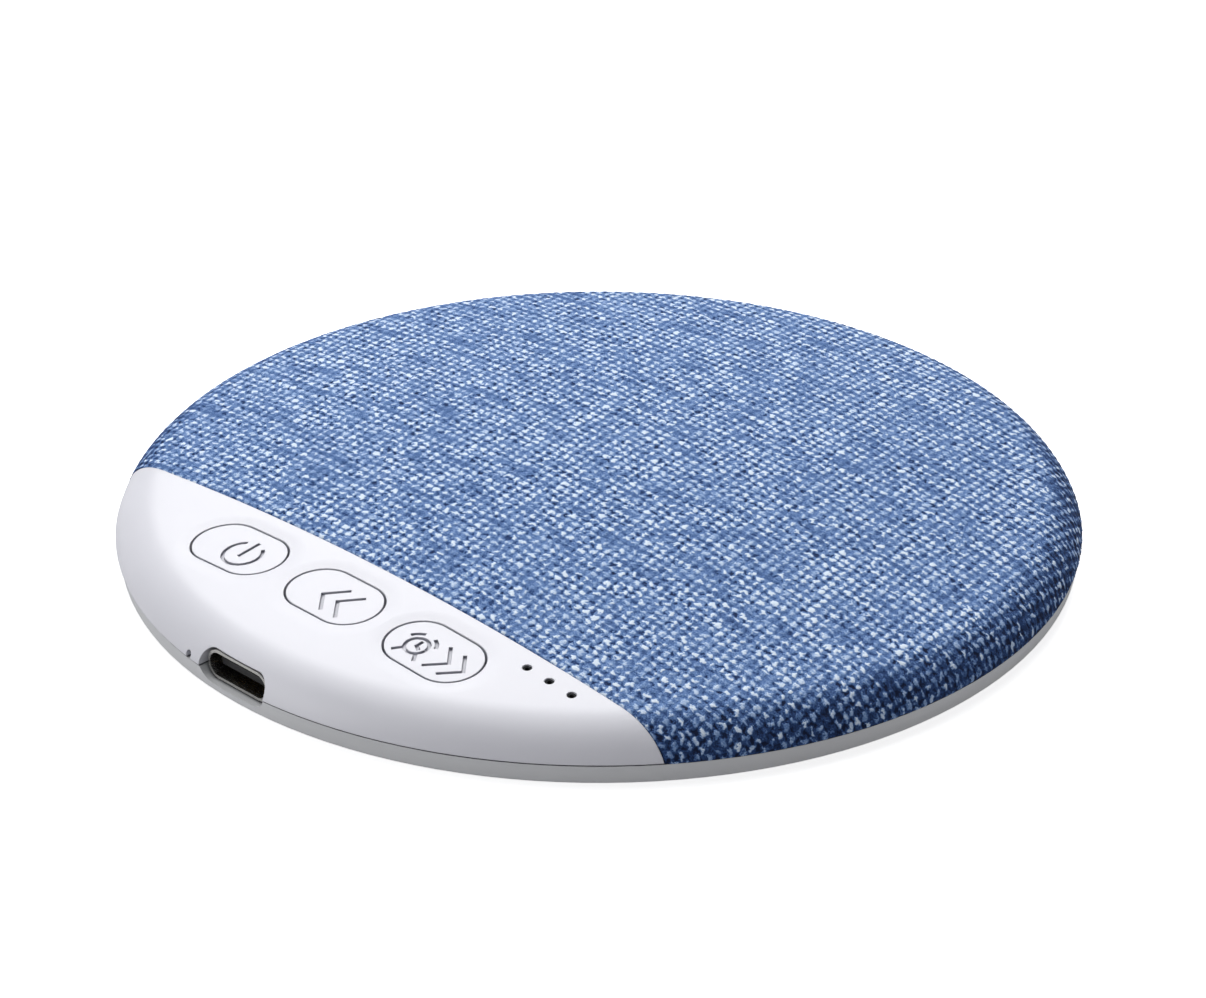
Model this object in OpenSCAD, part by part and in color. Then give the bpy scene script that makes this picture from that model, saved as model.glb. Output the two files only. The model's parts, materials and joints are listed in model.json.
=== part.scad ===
// Flat round Bluetooth audio receiver with built-in speakers.
// The origin is on the surface it stands on, under the centre of the disc.
// +Z is up, and -Y points out of the USB-C socket, past the three push buttons.

/* [Body] */
// Outside diameter at the seam
body_d = 100; // [92:0.5:130]
// Radius of the rounded rim between the seam and the domed top
rim_r = 5.5; // [5.2:0.1:6.4]
// Slope of the domed top where it meets the rim, in degrees
dome_slope = 7.7; // [7:0.1:10]
// Lean of the rim's wall at the seam, in degrees from upright
lip_tilt = 18; // [12:1:24]
// Distance from the centre to the straight edge between cloth and control cover
chord_y = 30.4; // [29.5:0.1:31.5]

/* [Walls] */
// Height of the base's visible wall
base_h = 2.43; // [2.2:0.01:3.4]
// Thickness of the base's floor
floor_t = 1.2; // [0.8:0.1:1.4]
// Thickness of the control cover
cover_t = 1.5; // [1.2:0.1:1.8]
// Thickness of the perforated plate under the cloth
plate_t = 1.2; // [0.9:0.1:1.4]
// Thickness of the woven cloth
cloth_t = 0.6; // [0.3:0.1:0.8]
// Dark gap at the seam between the base and the covers
seam_gap = 0.16; // [0.1:0.01:0.3]

/* [Buttons] */
// Length of a button's opening
button_w = 11.6; // [10:0.1:12.5]
// Width of a button's opening
button_h = 7.35; // [6.5:0.05:7.8]
// Distance between neighbouring buttons
button_pitch = 14.4; // [14.2:0.1:15.2]
// How far a button goes in
button_travel = 0.3; // [0.15:0.05:0.4]
// Clear gap round a button's cap
button_gap = 0.25; // [0.15:0.05:0.35]

/* [Speakers] */
// Outside diameter of each speaker's basket
speaker_d = 32; // [28:0.5:33]
// Travel of a cone each way
cone_travel = 0.35; // [0.1:0.05:0.4]

/* [Battery] */
// Length of the pouch cell
cell_l = 48; // [36:1:49]
// Width of the pouch cell
cell_w = 19; // [14:0.5:19.5]
// Thickness of the pouch cell
cell_t = 3.6; // [2.4:0.1:3.8]

/* [Board] */
// Thickness of the circuit board
board_t = 0.8; // [0.6:0.1:1.0]

/* [Feet and screws] */
// Diameter of a rubber foot
foot_d = 8; // [7:0.1:9]
// How far the feet stand out of the base
foot_proud = 0.5; // [0.3:0.1:0.8]
// Thread diameter of the case screws
screw_d = 2.0; // [1.6:0.1:2.2]

/* [Hidden] */
$fn = 64;
eps = 0.01;
big = 300;

body_r = body_d / 2;
base_z = foot_proud;
seam_z = base_z + base_h;
floor_z = base_z + floor_t;

// The covers' outside is one arc for the rim and one for the domed top.
rim_cx = body_r - rim_r * cos(lip_tilt);
rim_cz = seam_z - rim_r * sin(lip_tilt);
shoulder_a = 90 - dome_slope;
dome_r = (rim_cx + rim_r * cos(shoulder_a)) / cos(shoulder_a);
dome_cz = rim_cz + rim_r * sin(shoulder_a) - dome_r * sin(shoulder_a);

// Height of the surface that lies an inset below the domed top, at a radius.
function dome_z(r, inset = 0) = dome_cz + sqrt(pow(dome_r - inset, 2) - r * r);

// Radius of that surface at a height on the rim.
function skin_r(inset, z) = rim_cx + (rim_r - inset) * cos(rim_end(inset, z));

// Outline of that surface from the axis to a height on the rim.
dome_steps = 12;
rim_steps = 14;
function rim_end(inset, z) = asin((z - rim_cz) / (rim_r - inset));
function skin(inset, z) = concat(
    [for (i = [0:dome_steps - 1])
        let (a = 90 - dome_slope * i / dome_steps)
        [(dome_r - inset) * cos(a), dome_cz + (dome_r - inset) * sin(a)]],
    [for (i = [0:rim_steps])
        let (a = shoulder_a * (1 - i / rim_steps))
        if (a > rim_end(inset, z) + 1)
            [rim_cx + (rim_r - inset) * cos(a), rim_cz + (rim_r - inset) * sin(a)]],
    [[skin_r(inset, z), z]]);

// Base.
base_bottom_r = body_r - 0.43;
base_top_r = body_r - 0.1;
base_edge_r = 0.6;
base_top_z = seam_z - seam_gap;
lip_clear = 0.15;
lip_top = seam_z + cloth_t - 0.03;
lip_r = skin_r(max(cover_t, plate_t), lip_top) - lip_clear;
lip_t = 1.0;
cup_t = 1.0;
cup_clear = 0.25;
rib_t = 0.8;

// Cloth and the plate it is stretched on.
chord_gap = 0.1;
cloth_z = seam_z + 0.05;
cloth_y = -chord_y + chord_gap;
plate_y = cloth_y + cloth_t;
plate_inset = cloth_t + plate_t;
tuck_r = lip_r + lip_clear;
fold_h = plate_inset + 0.05;
ledge_deep = 3.0;
ledge_l = 1.2;
ledge_x = 34;

// Speakers.
speaker_x = speaker_d / 2 + 2.5;
speaker_y = 14;
speaker_z = floor_z + 0.05;
yoke_r = 9.6;
yoke_h = 2.0;
yoke_floor = 0.7;
yoke_wall = 0.8;
pole_r = 7.7;
pole_t = 0.4;
magnet_r = 7.4;
coil_r = 8.1;
coil_t = 0.35;
coil_h = 1.5;
coil_z = yoke_floor + cone_travel + 0.15;
cone_z = coil_z + coil_h;
cone_r = speaker_d / 2 - 3.8;
cone_t = 0.25;
cone_rise = 0.6;
dome_rise = 0.45;
surround_w = 2.3;
surround_h = 0.42;
basket_wall = 0.8;
ledge_z = cone_z + cone_rise;
ledge_t = 0.5;
ledge_w = 0.8;
basket_h = ledge_z + 0.3;
basket_web_z = 1.2;
basket_web_t = 0.7;
gasket_t = 0.3;
gasket_w = 1.3;
hole_d = 2.8;
hole_pitch = 5.4;
hole_rings = 2;

// Circuit board, and what stands on it.
board_top = seam_z + 0.17;
board_z = board_top - board_t;
board_r = lip_r - lip_t - 0.9;
board_back_y = -chord_y + 1.9;
board_x = 31.5;
amplifier_x = 8.5;
amplifier_y = -31.5;
inductor_x = 12.6;
inductor_y = -41.4;
inductor_h = 1.1;
board_step_x = 28.8;
board_step_y = -31.3;

// Buttons and their switches.
buttons = 3;
button_x = 0.3;
button_y = -36.7;
icon_y = button_y - 0.4;
icon_depth = 0.28;
stroke = 0.4;
flange_w = 0.75;
flange_t = 0.6;
flange_clear = 0.1;
stem_d = 3.0;
switch_w = 4.2;
switch_floor = 0.2;
switch_lid = 0.25;
switch_wall = 0.4;
snap_dome_h = 0.1;
snap_dome_t = 0.06;
plunger_d = 2.0;
plunger_clear = 0.05;
plunger_rest = switch_floor + snap_dome_h + snap_dome_t + button_travel + 0.05;
collar_d = 2.8;
collar_t = 0.25;
switch_h = plunger_rest + collar_t + 0.1 + switch_lid;
plunger_proud = 0.5;
plunger_top = board_top + switch_h + plunger_proud;
function key_x(i) = button_x + (i - 1) * button_pitch;
power = 0;
previous = 1;
next = 2;

// USB-C socket, in the standard's own sizes.
usb_x = -0.5;
usb_w = 8.94;
usb_h = 3.16;
usb_wall = 0.3;
usb_l = 6.8;
usb_z = board_top + 0.23;
usb_mouth_y = -body_r + 1.25;
usb_back_t = 1.6;
port_deep = 6.0;
tongue_w = 6.69;
tongue_t = 0.7;
tongue_recess = 0.9;
contact_count = 12;
contact_pitch = 0.5;
contact_w = 0.25;
contact_t = 0.05;
port_w = 9.7;
port_h = 3.4;

// Small openings.
pinhole_d = 1.0;
pinhole_pitch = 3.05;
pinhole_x = 26.25;
pinhole_y = -32.45;
light_x = -7.2;
light_z = seam_z + 0.3;
light_d = 0.8;
light_pipe_d = 0.7;
led_y = -board_r + 1.4;
light_pipe_recess = 0.5;
light_pipe_front = -sqrt(pow(skin_r(0, light_z), 2) - pow(light_x, 2)) + light_pipe_recess;
light_pipe_back = -board_r;
mic_l = 3.5;
mic_w = 2.65;
mic_h = 1.0;
boot_seat = 0.6;
nozzle_bore = 0.5;
nozzle_clear = 0.02;
nozzle_recess = 0.15;
boot_lid = 0.35;

// Feet and screws stand on the same four centres.
foot_at = [[-32.5, -27.5], [32.5, -27.5], [-21, 36.5], [21, 36.5]];
foot_deep = 0.4;
foot_clear = 0.1;
head_r = 1.9;
head_h = 1.0;
head_clear = 0.15;
screw_l = 4.0;
screw_clear = 0.1;
seat_z = base_z + 1.5;
post_r = 2.85;
boss_r = 2.5;
post_top = seam_z + 0.97;
ear_z = post_top + 0.02;
ear_t = 0.8;
ear_l = sqrt(pow(skin_r(cover_t, ear_z), 2) - pow(foot_at[1][0], 2)) + foot_at[1][1] + 0.3;
ear_w = 4.4;
pilot_clear = 0.05;
pilot_deep = 0.15;
board_screw_at = [[-25, -36.5], [25, -36.5]];
board_screw_d = 1.6;
board_screw_bite = 1.4;
board_head_h = 0.5;
board_head_r = 1.5;
board_boss_r = 2.0;

// Battery.
cell_x = -1;
cell_y = cloth_y + 5.3;
cell_clear = 0.3;
pad_t = 0.3;
cell_z = floor_z + pad_t;
guard_l = 1.6;
guard_gap = 0.1;
guard_w = 14;

// ---- Shared shapes ----

// Everything under the covers' skin at an inset, from a height up.
module under_skin(inset, z) {
    rotate_extrude($fn = 180)
        polygon(concat([[0, z]], skin(inset, z)));
}

// A wall of the covers' shape between two insets.
module skin_wall(outer, inner, z) {
    difference() {
        under_skin(outer, z);
        under_skin_cut(inner, z);
    }
}

// The same, carried on below its foot so that it cuts cleanly.
module under_skin_cut(inset, z) {
    rotate_extrude($fn = 180)
        polygon(concat([[0, z - 1]], skin(inset, z), [[skin_r(inset, z), z - 1]]));
}

module behind(y) {
    translate([-big / 2, y, -big / 2])
        cube([big, big, big]);
}

module before(y) {
    translate([-big / 2, y - big, -big / 2])
        cube([big, big, big]);
}

// A slot with round ends, long along X.
module slot(w, h) {
    square([w - h, h], center = true);
    for (side = [-1, 1])
        translate([side * (w - h) / 2, 0])
            circle(d = h);
}

module ring(outer_r, inner_r, h) {
    difference() {
        cylinder(r = outer_r, h = h);
        translate([0, 0, -1])
            cylinder(r = inner_r, h = h + 2);
    }
}

module block(x, y, z, w, l, h) {
    translate([x - w / 2, y - l / 2, z])
        cube([w, l, h]);
}

// A round wire swept along points. Each ring stands square to the way the wire runs there.
function unit(v) = v / norm(v);
function heading(p, i) = unit(p[min(i + 1, len(p) - 1)] - p[max(i - 1, 0)]);
function side_of(d) = unit(cross(d, abs(d[2]) < 0.9 ? [0, 0, 1] : [1, 0, 0]));
module wire(p, d, sides = 8) {
    n = len(p);
    points = [for (i = [0:n - 1])
        let (h = heading(p, i), u = side_of(h), v = cross(u, h))
        for (k = [0:sides - 1])
            let (a = 360 * k / sides)
            p[i] + d / 2 * (cos(a) * u + sin(a) * v)];
    walls = [for (i = [0:n - 2]) for (k = [0:sides - 1])
        let (k2 = (k + 1) % sides)
        [i * sides + k, (i + 1) * sides + k, (i + 1) * sides + k2, i * sides + k2]];
    polyhedron(points, concat(walls,
        [[for (k = [0:sides - 1]) k]],
        [[for (k = [sides - 1:-1:0]) (n - 1) * sides + k]]));
}

// ---- Base ----

base_outline = concat(
    [[0, base_z], [base_bottom_r - base_edge_r, base_z]],
    [for (i = [1:5])
        let (a = -90 + 90 * i / 5)
        [base_bottom_r - base_edge_r + base_edge_r * cos(a), base_z + base_edge_r + base_edge_r * sin(a)]],
    [[base_top_r, base_top_z], [lip_r, base_top_z], [lip_r, lip_top],
        [lip_r - lip_t, lip_top], [lip_r - lip_t, floor_z], [0, floor_z]]);

module at_feet(z) {
    for (p = foot_at)
        translate([p[0], p[1], z])
            children();
}

module at_speaker(side, z = 0) {
    translate([side * speaker_x, speaker_y, z])
        children();
}

cup_r = speaker_d / 2 + cup_clear;
cup_h = 2.8;
wire_gap = 3.6;
wire_way = 225;
rest_r = 1.1;
rest_at = [[-27.5, -33.5], [27.5, -33.5], [-14.5, -42.5], [14.5, -42.5]];
rib_h = 1.0;
rib_l = 8;

module base_shell() {
    color("gainsboro")
    difference() {
        union() {
            rotate_extrude($fn = 180)
                polygon(base_outline);
            at_feet(floor_z - eps)
                cylinder(r = post_r, h = post_top - floor_z + eps);
            for (side = [-1, 1])
                at_speaker(side, floor_z - eps)
                    ring(cup_r + cup_t, cup_r, cup_h);
            for (p = rest_at)
                translate([p[0], p[1], floor_z - eps])
                    cylinder(r = rest_r, h = board_z - floor_z + eps);
            cell_ribs();
        }
        at_feet(base_z - 1)
            cylinder(d = foot_d + 2 * foot_clear, h = foot_deep + 1);
        at_feet(base_z - 1)
            cylinder(r = head_r + head_clear, h = seat_z - base_z + 1);
        at_feet(base_z - 1)
            cylinder(r = screw_d / 2 + screw_clear, h = big);
        port_cut();
        translate([light_x - light_pipe_d, -body_r + 1.6, base_top_z])
            cube([2 * light_pipe_d, 4, 5]);
        cup_wire_gaps();
    }
}

// Low ribs at the pouch cell's corners keep it in place.
module cell_ribs() {
    for (sx = [-1, 1])
        for (sy = [-1, 1])
            block(cell_x + sx * cell_l / 3,
                cell_y + cell_w / 2 + sy * (cell_w / 2 + cell_clear + rib_t / 2),
                floor_z - eps, rib_l, rib_t, rib_h + eps);
}

// The speaker wires leave their cups through these gaps.
module cup_wire_gaps() {
    for (side = [-1, 1])
        at_speaker(side, floor_z)
            rotate(wire_way)
                translate([cup_r - 1, -wire_gap / 2, 0.6])
                    cube([cup_t + 2, wire_gap, cup_h]);
}

// ---- Control cover ----

module port_cut() {
    translate([usb_x, -body_r - 5, usb_z])
        rotate([-90, 0, 0])
            linear_extrude(height = 5 + port_deep)
                slot(port_w, port_h);
}

module at_keys() {
    for (i = [0:buttons - 1])
        translate([key_x(i), button_y, 0])
            children();
}

module cover_bosses() {
    for (p = board_screw_at)
        translate([p[0], p[1], board_top])
            cylinder(r = board_boss_r, h = dome_z(norm(p), cover_t) - board_top + 0.5);
}

// Each ear lies between a post of the base and a boss of the plate.
// The case screw goes through all three.
module cover_ears() {
    intersection() {
        for (i = [0, 1])
            translate([foot_at[i][0], foot_at[i][1], ear_z]) {
                cylinder(r = post_r, h = ear_t);
                translate([-ear_w / 2, -ear_l, 0])
                    cube([ear_w, ear_l, ear_t]);
            }
        union() {
            under_skin(fold_h + 0.1, seam_z);
            intersection() {
                under_skin(cover_t / 2, seam_z);
                before(-chord_y);
            }
        }
    }
}

module cover_ledge() {
    // A rib along the straight edge, under the plate's folded cloth, with room for the wires.
    intersection() {
        skin_wall(cover_t - 0.2, ledge_deep, seam_z);
        translate([-ledge_x, -chord_y - ledge_l, 0])
            cube([2 * ledge_x, ledge_l, big]);
    }
}

module control_cover() {
    color("whitesmoke")
    difference() {
        union() {
            intersection() {
                skin_wall(0, cover_t, seam_z);
                before(-chord_y);
            }
            cover_bosses();
            cover_ears();
            cover_ledge();
        }
        at_keys()
            linear_extrude(height = big)
                slot(button_w, button_h);
        at_feet(0)
            cylinder(r = screw_d / 2 + screw_clear, h = ear_z + ear_t + 0.1);
        for (p = board_screw_at)
            translate([p[0], p[1], board_top - 1])
                cylinder(r = board_screw_d / 2 + pilot_clear, h = 1 + board_screw_bite + pilot_deep);
        at_pinholes(board_top + 1.5)
            cylinder(d = pinhole_d, h = big);
        port_cut();
        translate([light_x, -body_r - 1, light_z])
            rotate([-90, 0, 0])
                cylinder(d = light_d, h = 5);
    }
}

// ---- Cloth and its plate ----

module cloth_cover() {
    color("steelblue")
    intersection() {
        union() {
            skin_wall(0, cloth_t, cloth_z);
            intersection() {
                skin_wall(cloth_t / 2, fold_h, lip_top + 0.05);
                before(plate_y);
            }
            intersection() {
                under_skin(cloth_t / 2, cloth_z);
                translate([0, 0, cloth_z])
                    ring(body_r, tuck_r, cloth_t);
            }
        }
        behind(cloth_y);
    }
}

module speaker_holes() {
    for (q = [-hole_rings:hole_rings])
        for (r = [max(-hole_rings, -q - hole_rings):min(hole_rings, -q + hole_rings)])
            translate([hole_pitch * (q + r / 2), hole_pitch * r * sqrt(3) / 2, 0])
                cylinder(d = hole_d, h = big, $fn = 24);
}

gasket_z = speaker_z + basket_h;

module grille_plate() {
    color("dimgray")
    difference() {
        intersection() {
            union() {
                skin_wall(cloth_t, plate_inset, cloth_z + cloth_t);
                intersection() {
                    union() {
                        for (side = [-1, 1])
                            at_speaker(side, gasket_z + gasket_t)
                                ring(speaker_d / 2, speaker_d / 2 - gasket_w, big);
                        at_feet(post_top)
                            cylinder(r = boss_r, h = big);
                    }
                    under_skin(cloth_t + plate_t / 2, cloth_z);
                }
            }
            behind(plate_y);
        }
        for (i = [0, 1])
            translate([foot_at[i][0], foot_at[i][1], 0])
                cylinder(r = post_r + 0.15, h = ear_z + ear_t);
        at_feet(0)
            cylinder(r = screw_d / 2 + pilot_clear, h = seat_z + screw_l + pilot_deep);
        for (side = [-1, 1])
            at_speaker(side)
                speaker_holes();
    }
}

// ---- Buttons ----

module bar(x1, y1, x2, y2) {
    d = [x2 - x1, y2 - y1];
    translate([(x1 + x2) / 2, (y1 + y2) / 2])
        rotate(atan2(d[1], d[0]))
            square([norm(d) + stroke, stroke], center = true);
}

// Part of a circle's line, from one angle to another.
function on_circle(r, a) = [r * cos(a), r * sin(a)];
module arc_line(r, from, to) {
    steps = 16;
    angles = [for (i = [0:steps]) from + (to - from) * i / steps];
    polygon(concat([for (a = angles) on_circle(r - stroke / 2, a)],
        [for (i = [steps:-1:0]) on_circle(r + stroke / 2, angles[i])]));
}

module power_icon() {
    arc_line(2.05, 125, 415);
    bar(0, 2.1, 0, -0.4);
}

module chevron(way) {
    bar(0, 0, -way * 1.75, 1.9);
    bar(0, 0, -way * 1.75, -1.9);
}

module chevrons(way) {
    for (i = [0, 1])
        translate([way * (0.85 + (i - 0.5) * 2.15), 0])
            chevron(way);
}

module clock_icon() {
    arc_line(1.25, 0, 358);
    bar(0, 0.65, 0, 0);
    bar(0, 0, 0.5, -0.3);
    for (side = [-1, 1]) {
        bar(side * 1.05, -1.2, side * 1.45, -1.75);
        rotate(-side * 42)
            arc_line(1.95, 68, 112);
    }
}

module key_icon(i) {
    if (i == power)
        translate([0.95, 0]) power_icon();
    if (i == previous)
        translate([0.65, 0]) chevrons(-1);
    if (i == next) {
        translate([-1.95, -0.1]) clock_icon();
        translate([2.7, 0]) scale(0.94) chevrons(1);
    }
}

module key_cap(i) {
    x = key_x(i);
    color("whitesmoke")
    difference() {
        union() {
            intersection() {
                translate([x, button_y, 0])
                    linear_extrude(height = big)
                        slot(button_w - 2 * button_gap, button_h - 2 * button_gap);
                skin_wall(0.02, cover_t + flange_clear + flange_t, seam_z);
            }
            intersection() {
                translate([x, button_y, 0])
                    linear_extrude(height = big)
                        slot(button_w + 2 * flange_w, button_h + 2 * flange_w);
                skin_wall(cover_t + flange_clear, cover_t + flange_clear + flange_t, seam_z);
            }
            intersection() {
                translate([x, button_y, plunger_top])
                    cylinder(d = stem_d, h = big);
                under_skin(cover_t, seam_z);
            }
        }
        intersection() {
            translate([x, icon_y, 0])
                linear_extrude(height = big)
                    key_icon(i);
            skin_wall(-0.5, icon_depth, seam_z);
        }
    }
}

module plunger(i) {
    color("dimgray")
    translate([key_x(i), button_y, board_top + plunger_rest]) {
        cylinder(d = plunger_d, h = plunger_top - board_top - plunger_rest);
        cylinder(d = collar_d, h = collar_t);
    }
}

module switch_body(i) {
    color("silver")
    translate([0, 0, board_top])
    difference() {
        block(key_x(i), button_y, 0, switch_w, switch_w, switch_h);
        translate([key_x(i), button_y, switch_floor])
            cylinder(r = switch_w / 2 - switch_wall, h = switch_h - switch_floor - switch_lid);
        translate([key_x(i), button_y, switch_floor])
            cylinder(r = plunger_d / 2 + plunger_clear, h = switch_h);
    }
}

// The click domes are thin sprung discs on the switches' floors.
module snap_domes() {
    color("silver")
    for (i = [0:buttons - 1])
        translate([key_x(i), button_y, board_top + switch_floor])
            rotate_extrude()
                polygon([[0, snap_dome_h], [1.4, 0], [1.6, 0], [1.6, snap_dome_t], [1.4, snap_dome_t],
                    [0, snap_dome_h + snap_dome_t]]);
}

// ---- Circuit board ----

module main_board() {
    color("darkgreen")
    difference() {
        intersection() {
            translate([0, 0, board_z])
                cylinder(r = board_r, h = board_t, $fn = 180);
            translate([0, 0, board_z]) {
                translate([-board_x, -body_r, 0])
                    cube([2 * board_x, body_r + board_step_y, board_t]);
                translate([-board_step_x, -body_r, 0])
                    cube([2 * board_step_x, body_r + board_back_y, board_t]);
            }
        }
        translate([usb_x - usb_w / 2 - 0.12, -body_r, board_z - 1])
            cube([usb_w + 0.24, body_r + usb_mouth_y + usb_l + 0.12, 5]);
        for (p = board_screw_at)
            translate([p[0], p[1], board_z - 1])
                cylinder(r = board_screw_d / 2 + screw_clear, h = 5);
    }
}

module usb_slot(w, h, l) {
    rotate([-90, 0, 0])
        linear_extrude(height = l)
            slot(w, h);
}

module usb_shell() {
    color("silver")
    translate([usb_x, usb_mouth_y, usb_z]) {
        difference() {
            usb_slot(usb_w, usb_h, usb_l);
            translate([0, -1, 0])
                usb_slot(usb_w - 2 * usb_wall, usb_h - 2 * usb_wall, usb_l + 2);
        }
        for (side = [-1, 1])
            for (y = [3.2, 6.2])
                translate([side * (usb_w / 2 + 0.35) - 0.45, y - 0.5, board_top - usb_z])
                    cube([0.9, 1, 0.25]);
    }
}

module usb_tongue() {
    color("black")
    translate([usb_x, usb_mouth_y, usb_z]) {
        translate([0, usb_l - usb_back_t, 0])
            usb_slot(usb_w - 2 * usb_wall - 0.02, usb_h - 2 * usb_wall - 0.02, usb_back_t);
        translate([-tongue_w / 2, tongue_recess, -tongue_t / 2])
            cube([tongue_w, usb_l - usb_back_t - tongue_recess + eps, tongue_t]);
    }
}

module usb_contacts() {
    color("gold")
    for (side = [0, 1])
        for (i = [0:contact_count - 1])
            translate([usb_x + (i - (contact_count - 1) / 2) * contact_pitch - contact_w / 2,
                usb_mouth_y + tongue_recess + 0.4,
                usb_z - tongue_t / 2 - contact_t + side * (tongue_t + contact_t)])
                cube([contact_w, usb_l - usb_back_t - tongue_recess - 0.4, contact_t]);
}

module bluetooth_chip() {
    color("black")
        block(-10, -41.7, board_top, 5, 5, 0.85);
}

module amplifier_chip() {
    color("black") {
        block(amplifier_x, amplifier_y, board_top + 0.1, 4.9, 3.9, 1.2);
        for (side = [-1, 1])
            for (i = [0:3])
                block(amplifier_x + (i - 1.5) * 1.27, amplifier_y + side * 2.2, board_top, 0.4, 1.0, 0.3);
    }
}

module charger_chip() {
    color("black")
        block(9, -43.4, board_top, 2.9, 1.6, 1.1);
}

module crystal() {
    color("silver")
        block(-12.5, -31.5, board_top, 3.2, 2.5, 0.8);
}

module antenna() {
    color("linen")
        block(-22.5, -33, board_top, 7, 2, 0.9);
}

module inductor() {
    color("gray")
    difference() {
        block(inductor_x, inductor_y, board_top, 3.6, 3.6, inductor_h);
        translate([inductor_x, inductor_y, board_top + inductor_h - 0.2])
            ring(1.4, 1.15, 1);
    }
}

// Each row of small parts: where it starts, how many, and their pitch.
part_rows =
    [[-7, -31, 4, 2.2], [-7, -33.2, 3, 2.2], [16.8, -41.8, 1, 2.2], [-20, -35.4, 1, 2],
        [20.6, -36.8, 1, 2], [-17.8, -41.4, 2, 2.4], [14, -31.2, 2, 2.4]];

module small_parts() {
    color("tan")
    for (row = part_rows)
        for (i = [0:row[2] - 1])
            block(row[0] + i * row[3], row[1], board_top, 1.6, 0.8, 0.45);
}

module charge_light() {
    color("white")
        block(light_x, led_y, board_top, 1.6, 0.8, 0.6);
}

module light_pipe() {
    color("white")
    translate([light_x, light_pipe_front, light_z])
        rotate([-90, 0, 0])
            cylinder(d = light_pipe_d, h = light_pipe_back - light_pipe_front);
}

module microphone() {
    color("silver")
        block(pinhole_x, pinhole_y, board_top, mic_l, mic_w, mic_h);
}

// The boot carries sound from the three pinholes down to the microphone.
// A nozzle stands up in each pinhole, and the bores meet in a flat chamber.
module at_pinholes(z) {
    for (i = [-1:1])
        translate([pinhole_x + i * pinhole_pitch, pinhole_y, z])
            children();
}

module microphone_boot() {
    boot_l = 2 * pinhole_pitch + pinhole_d + 0.8;
    boot_w = pinhole_d + 0.6;
    boot_z = board_top + mic_h;
    color("black")
    difference() {
        union() {
            intersection() {
                block(pinhole_x, pinhole_y, boot_z, boot_l, boot_w, 3);
                under_skin(cover_t + 0.05, seam_z);
                before(-chord_y - 0.1);
            }
            intersection() {
                at_pinholes(boot_z + boot_seat + 0.5)
                    cylinder(d = pinhole_d - 2 * nozzle_clear, h = big);
                under_skin(nozzle_recess, seam_z);
            }
        }
        intersection() {
            translate([pinhole_x, pinhole_y, boot_z + boot_seat])
                linear_extrude(height = big)
                    slot(2 * pinhole_pitch + nozzle_bore, nozzle_bore);
            under_skin(cover_t + boot_lid, seam_z);
        }
        at_pinholes(boot_z + boot_seat + 0.1)
            cylinder(d = nozzle_bore, h = big);
        translate([pinhole_x, pinhole_y, board_top])
            cylinder(d = nozzle_bore, h = mic_h + boot_seat + 0.2);
    }
}

// ---- Battery ----

module battery_cell() {
    color("silver")
    translate([cell_x, cell_y + cell_w / 2, cell_z + cell_t / 2])
        rotate([0, 90, 0])
            rotate(90)
                translate([0, 0, -cell_l / 2])
                    linear_extrude(height = cell_l)
                        slot(cell_w, cell_t);
}

module battery_guard_board() {
    color("goldenrod")
        block(cell_x + cell_l / 2 + guard_gap + guard_l / 2, cell_y + cell_w / 2, cell_z + 0.3,
            guard_l, guard_w, cell_t - 0.6);
}

module battery_pad() {
    color("dimgray")
        block(cell_x, cell_y + cell_w / 2, floor_z, cell_l - 8, cell_w - 6, pad_t);
}

// Each wire's route from the battery or a speaker to its solder joint on the board, drawn for
// speakers and a board top of these sizes. With other sizes, a route's ends move along.
route_speaker_r = 16;
route_board_top = 3.1;
moved_points = 5;
lead_d = 1.0;
thin_d = 0.7;
red_route =
    [[24.7, -19, 4.1], [25.6, -19.1, 4.1], [26.5, -19.6, 4.1], [27, -20.6, 4.1], [27.1, -22.5, 4.1],
        [27, -24.5, 4.1], [26.4, -26.3, 4.1], [25.3, -27.7, 4], [24.3, -28.6, 3.8], [23.6, -29.5, 3.7]];
black_route =
    [[24.7, -16.8, 4.1], [25.9, -16.9, 4.1], [27.3, -17.4, 4.1], [28.3, -18.8, 4.1], [28.5, -21, 4.1],
        [28.4, -23.6, 4.1], [28, -25.8, 4.1], [27.2, -27.4, 4], [26.5, -28.5, 3.8], [26.1, -29.5, 3.7]];
left_routes = [
    [[-29.6, 3.9, 3.6], [-30.7, 2.8, 3.5], [-31.7, 1.8, 3.3], [-32.4, 0.2, 3.1], [-32.6, -2, 2.9],
        [-32, -5, 2.8], [-30.8, -8.5, 2.8], [-29.5, -12, 2.8], [-28.7, -16, 2.8], [-28.4, -20, 2.9],
        [-28.2, -23.5, 3.1], [-27.9, -26.3, 3.4], [-27.6, -28.2, 3.6], [-27.4, -29.6, 3.7]],
    [[-28.6, 2.9, 3.6], [-29.7, 1.8, 3.5], [-30.6, 0.8, 3.3], [-31.2, -0.6, 3.1], [-31.4, -2.3, 2.9],
        [-30.9, -5, 2.8], [-29.7, -8.5, 2.8], [-28.4, -12, 2.8], [-27.6, -16, 2.8], [-27.3, -20, 2.9],
        [-27.1, -23.5, 3.1], [-26.6, -26.3, 3.4], [-26, -28.2, 3.6], [-25.5, -29.6, 3.7]]];
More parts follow.
